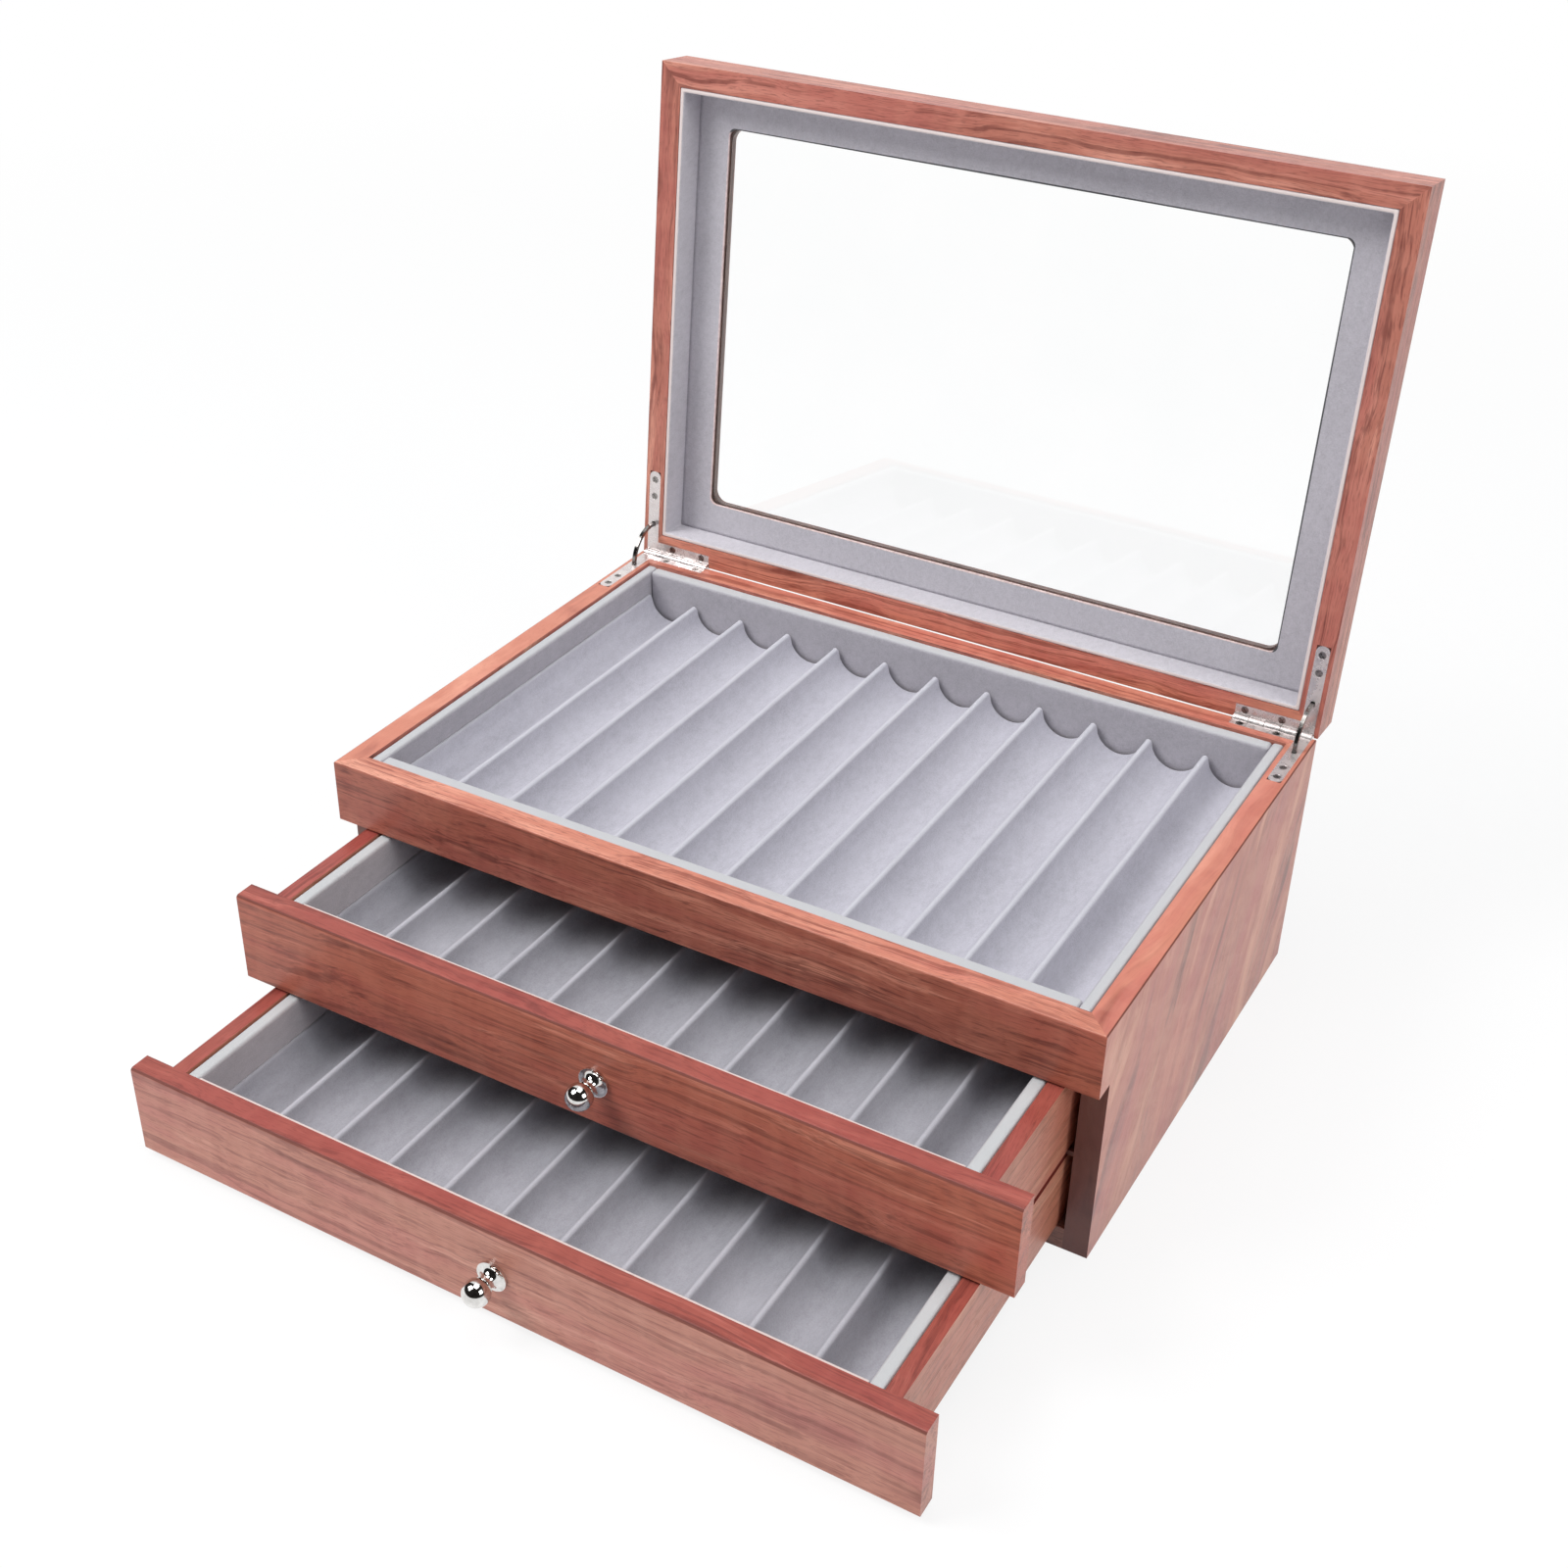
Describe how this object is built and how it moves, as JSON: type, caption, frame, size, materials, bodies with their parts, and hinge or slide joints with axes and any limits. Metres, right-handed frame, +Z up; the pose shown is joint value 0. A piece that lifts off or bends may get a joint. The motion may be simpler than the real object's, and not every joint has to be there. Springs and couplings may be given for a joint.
{
  "type": "pen collector chest",
  "caption": "Wooden pen chest with a glazed hinged lid on quadrant stays, a velvet-lined top tray and two pull-out drawers with grooves for pens.",
  "frame": {"origin": "centre of the carcass's underside, on the surface that the chest stands on", "axes": "+Z up, +Y from the front with the drawers to the back with the hinges, +X to the right as seen from the front"},
  "size_m": [0.34, 0.4178, 0.3416],
  "materials": {
    "rosewood_veneer": "satin lacquered veneer, fine streaks",
    "grey_velvet": "short soft pile",
    "nickel": "bright nickel plate",
    "window_glass": "clear"
  },
  "bodies": {
    "chest": {"back_panel": "rosewood_veneer", "bottom_board": "rosewood_veneer", "dust_panel": "rosewood_veneer", "front_rail": "rosewood_veneer", "hinge_leaf_chest_left": "nickel", "hinge_leaf_chest_right": "nickel", "hinge_pin_left": "nickel", "hinge_pin_right": "nickel", "hinge_screws_chest_left": "nickel", "hinge_screws_chest_right": "nickel", "side_panel_left": "rosewood_veneer", "side_panel_right": "rosewood_veneer", "tray_floor": "rosewood_veneer", "tray_insert": "grey_velvet", "tray_lining_back": "grey_velvet", "tray_lining_front": "grey_velvet", "tray_lining_left": "grey_velvet", "tray_lining_right": "grey_velvet"},
    "lid": {"hinge_leaf_lid_left": "nickel", "hinge_leaf_lid_right": "nickel", "hinge_screws_lid_left": "nickel", "hinge_screws_lid_right": "nickel", "lid_glass": "window_glass", "lid_lining_back": "grey_velvet", "lid_lining_front": "grey_velvet", "lid_lining_left": "grey_velvet", "lid_lining_right": "grey_velvet", "lid_rail_back": "rosewood_veneer", "lid_rail_front": "rosewood_veneer", "lid_rail_left": "rosewood_veneer", "lid_rail_right": "rosewood_veneer", "lid_top_frame": "rosewood_veneer", "lid_window_lining": "grey_velvet"},
    "stays": {"stay_left": "nickel", "stay_right": "nickel"},
    "upper_drawer": {"upper_drawer_back": "rosewood_veneer", "upper_drawer_bottom": "rosewood_veneer", "upper_drawer_front": "rosewood_veneer", "upper_drawer_insert": "grey_velvet", "upper_drawer_knob": "nickel", "upper_drawer_knob_screw": "nickel", "upper_drawer_lining_back": "grey_velvet", "upper_drawer_lining_front": "grey_velvet", "upper_drawer_lining_left": "grey_velvet", "upper_drawer_lining_right": "grey_velvet", "upper_drawer_side_left": "rosewood_veneer", "upper_drawer_side_right": "rosewood_veneer"},
    "lower_drawer": {"lower_drawer_back": "rosewood_veneer", "lower_drawer_bottom": "rosewood_veneer", "lower_drawer_front": "rosewood_veneer", "lower_drawer_insert": "grey_velvet", "lower_drawer_knob": "nickel", "lower_drawer_knob_screw": "nickel", "lower_drawer_lining_back": "grey_velvet", "lower_drawer_lining_front": "grey_velvet", "lower_drawer_lining_left": "grey_velvet", "lower_drawer_lining_right": "grey_velvet", "lower_drawer_side_left": "rosewood_veneer", "lower_drawer_side_right": "rosewood_veneer"}
  },
  "joints": [
    {"name": "lid_hinge", "type": "hinge", "parent": "chest", "child": "lid", "pos_m": [0, 0.1153, 0.1124], "axis": [1, 0, 0], "range_deg": [0, 95.5]},
    {"name": "stay_swing", "type": "hinge", "parent": "chest", "child": "stays", "pos_m": [0, 0.1153, 0.1124], "axis": [1, 0, 0], "range_deg": [0, 47.75]},
    {"name": "upper_drawer_slide", "type": "slide", "parent": "chest", "child": "upper_drawer", "axis": [0, 1, 0], "range_m": [-0.087, 0.063]},
    {"name": "lower_drawer_slide", "type": "slide", "parent": "chest", "child": "lower_drawer", "axis": [0, 1, 0], "range_m": [-0.0215, 0.1285]}
  ],
  "couplings": [
    {"joint": "stay_swing", "follows": "lid_hinge", "ratio": 0.5}
  ]
}
